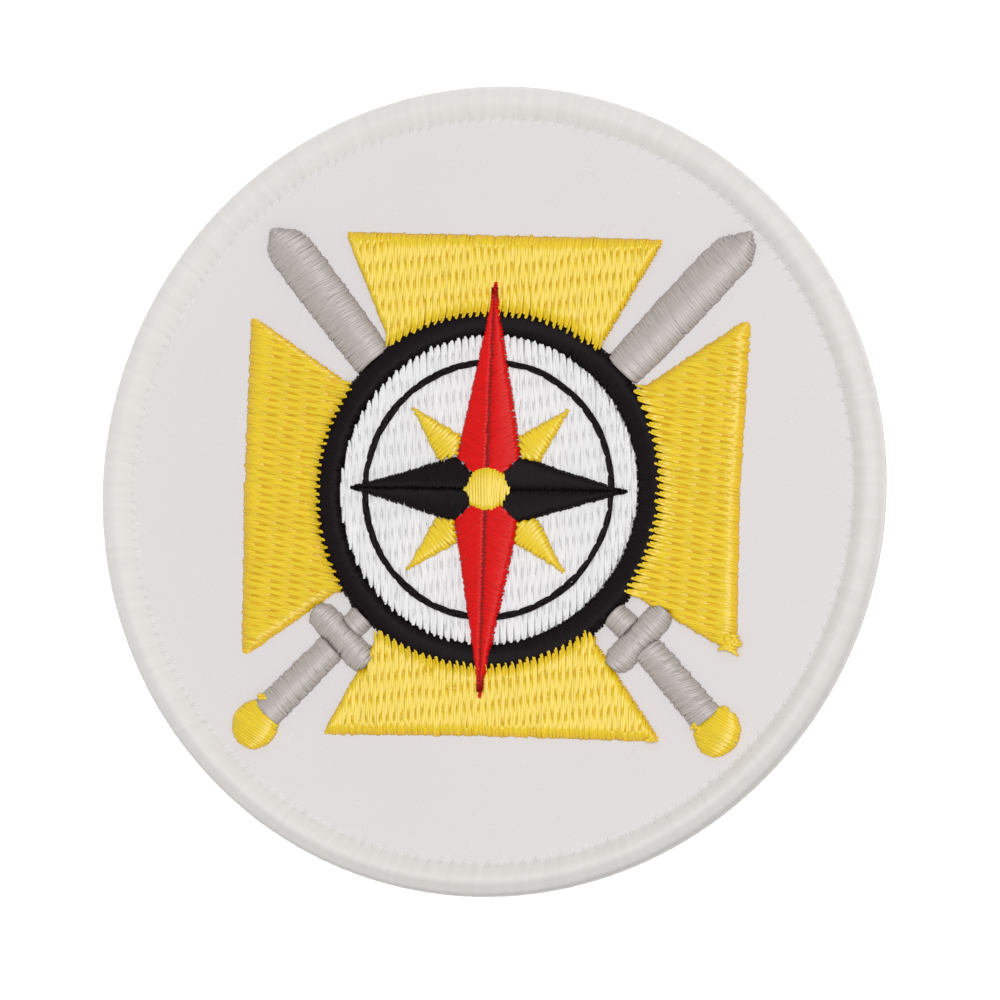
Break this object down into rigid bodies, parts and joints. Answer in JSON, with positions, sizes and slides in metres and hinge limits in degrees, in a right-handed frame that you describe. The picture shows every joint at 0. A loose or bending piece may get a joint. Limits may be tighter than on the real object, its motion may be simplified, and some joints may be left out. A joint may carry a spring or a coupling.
{
  "type": "embroidered patch",
  "caption": "Round embroidered cloth patch with a thick overlocked border and a raised stitched emblem: cross, crossed swords and a framed star.",
  "frame": {"origin": "middle of the flat back", "axes": "+Z out of the stitched face, +Y to the emblem's top, +X to the emblem's right as seen from the front"},
  "size_m": [0.0762, 0.0762, 0.0024],
  "materials": {
    "twill_white": "matt polyester twill",
    "border_white": "overlocked polyester thread",
    "thread_yellow": "glossy embroidery thread",
    "thread_silver": "glossy embroidery thread",
    "thread_black": "glossy embroidery thread",
    "thread_white": "glossy embroidery thread",
    "thread_red": "glossy embroidery thread"
  },
  "bodies": {
    "root": {"ground_cloth": "twill_white", "border": "border_white", "arm_top": "thread_yellow", "arm_left": "thread_yellow", "arm_bottom": "thread_yellow", "arm_right": "thread_yellow", "blade_left": "thread_silver", "blade_right": "thread_silver", "forte_left": "thread_silver", "forte_right": "thread_silver", "guard_left": "thread_silver", "guard_right": "thread_silver", "grip_left": "thread_silver", "grip_right": "thread_silver", "pommel_left": "thread_yellow", "pommel_right": "thread_yellow", "round_frame": "thread_black", "disc": "thread_white", "star_north": "thread_red", "star_south": "thread_red", "star_east": "thread_black", "star_west": "thread_black", "star_ne": "thread_yellow", "star_nw": "thread_yellow", "star_sw": "thread_yellow", "star_se": "thread_yellow", "hub": "thread_yellow", "circle_line": "thread_black"}
  },
  "joints": []
}
